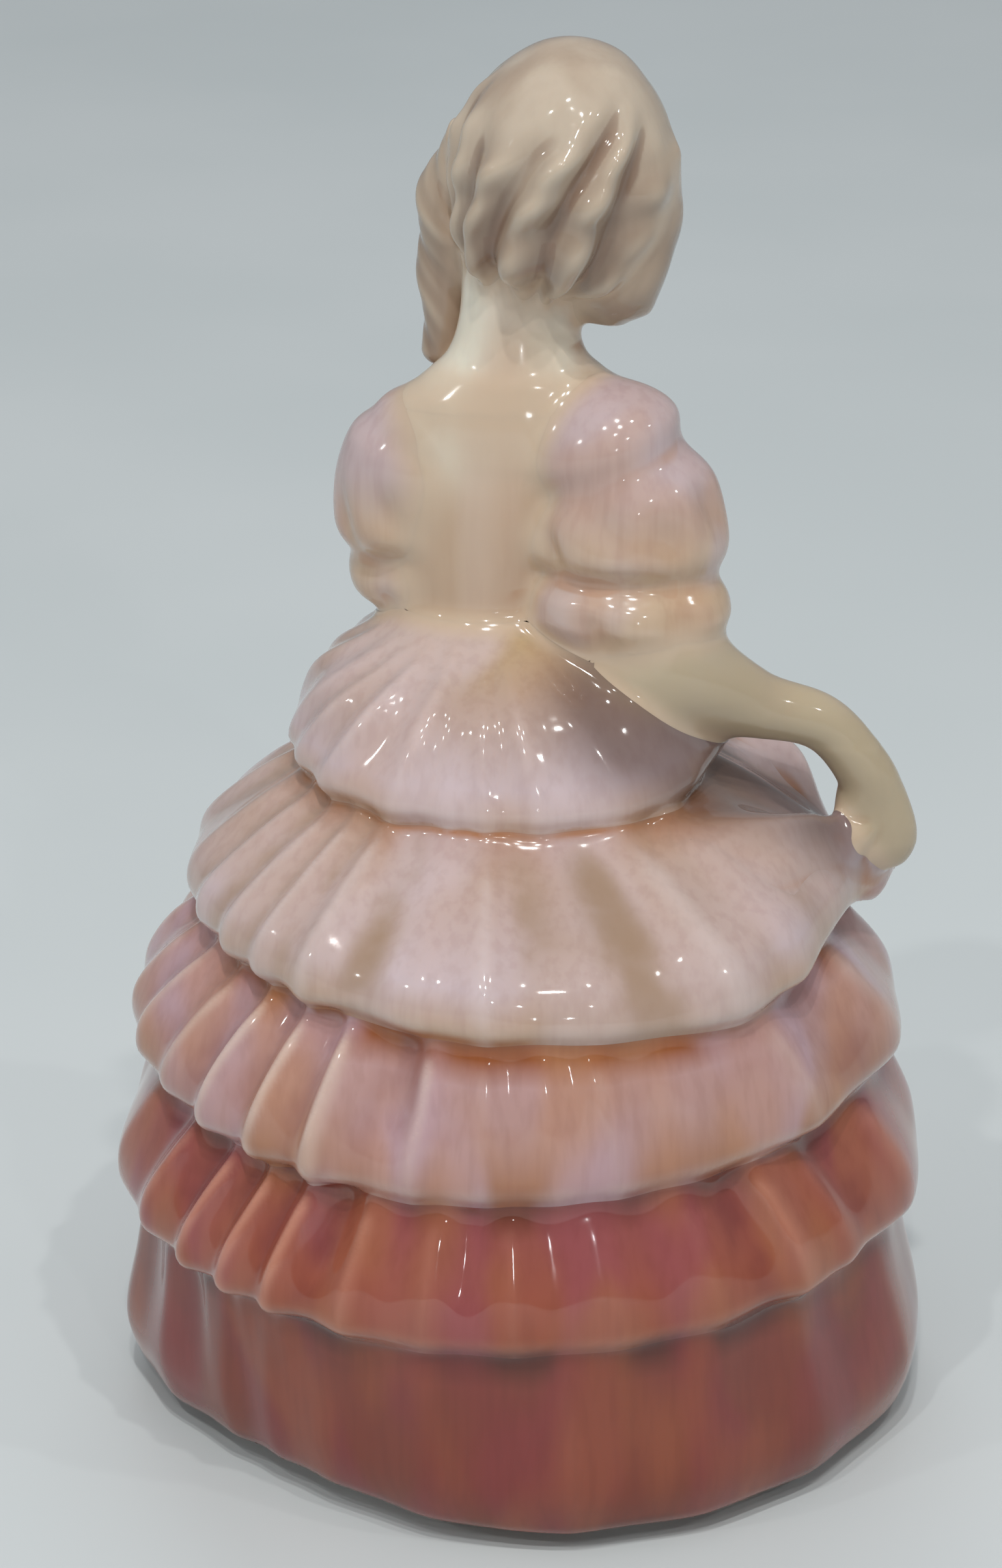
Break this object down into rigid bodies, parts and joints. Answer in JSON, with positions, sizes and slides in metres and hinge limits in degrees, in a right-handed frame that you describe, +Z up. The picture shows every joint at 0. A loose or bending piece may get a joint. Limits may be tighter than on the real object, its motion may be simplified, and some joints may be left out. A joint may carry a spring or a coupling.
{
  "type": "lady figurine",
  "caption": "Small glazed bone china lady in a tiered crinoline skirt with puffed sleeves and ringlets, a hand lowered to lift the side of her skirt.",
  "frame": {"origin": "centre of the figurine's footprint box, on the surface it stands on", "axes": "+Z up, -Y the way she faces, +X her left; her right hand, which lifts the skirt, is on the -X side"},
  "size_m": [0.072, 0.0684, 0.12],
  "materials": {
    "foot_biscuit": "unpainted pale body, wiped dry of glaze where it stands",
    "peplum_glaze": "gloss, pale pink and lavender airbrushed over ivory",
    "tier_2_glaze": "gloss, pale pink with ochre pooled in the hem",
    "tier_3_glaze": "gloss, pink running into burnt orange at the hem",
    "tier_4_glaze": "gloss, terracotta rose",
    "tier_5_glaze": "gloss, deep terracotta",
    "bodice_glaze": "gloss, warm ivory with peach shading",
    "sleeve_glaze": "gloss, pale pink with peach in the gathers",
    "skin_glaze": "gloss, ivory",
    "hair_glaze": "gloss, cream with fawn between the locks"
  },
  "bodies": {
    "root": {"foot_plate": "foot_biscuit", "peplum": "peplum_glaze", "skirt_tier_2": "tier_2_glaze", "skirt_tier_3": "tier_3_glaze", "skirt_tier_4": "tier_4_glaze", "skirt_tier_5": "tier_5_glaze", "bodice": "bodice_glaze", "neck": "skin_glaze", "head": "skin_glaze", "hair": "hair_glaze", "left_curl": "hair_glaze", "right_curl": "hair_glaze", "right_sleeve": "sleeve_glaze", "left_sleeve": "sleeve_glaze", "right_arm": "skin_glaze", "left_arm": "skin_glaze", "held_flounce": "tier_2_glaze"}
  },
  "joints": []
}
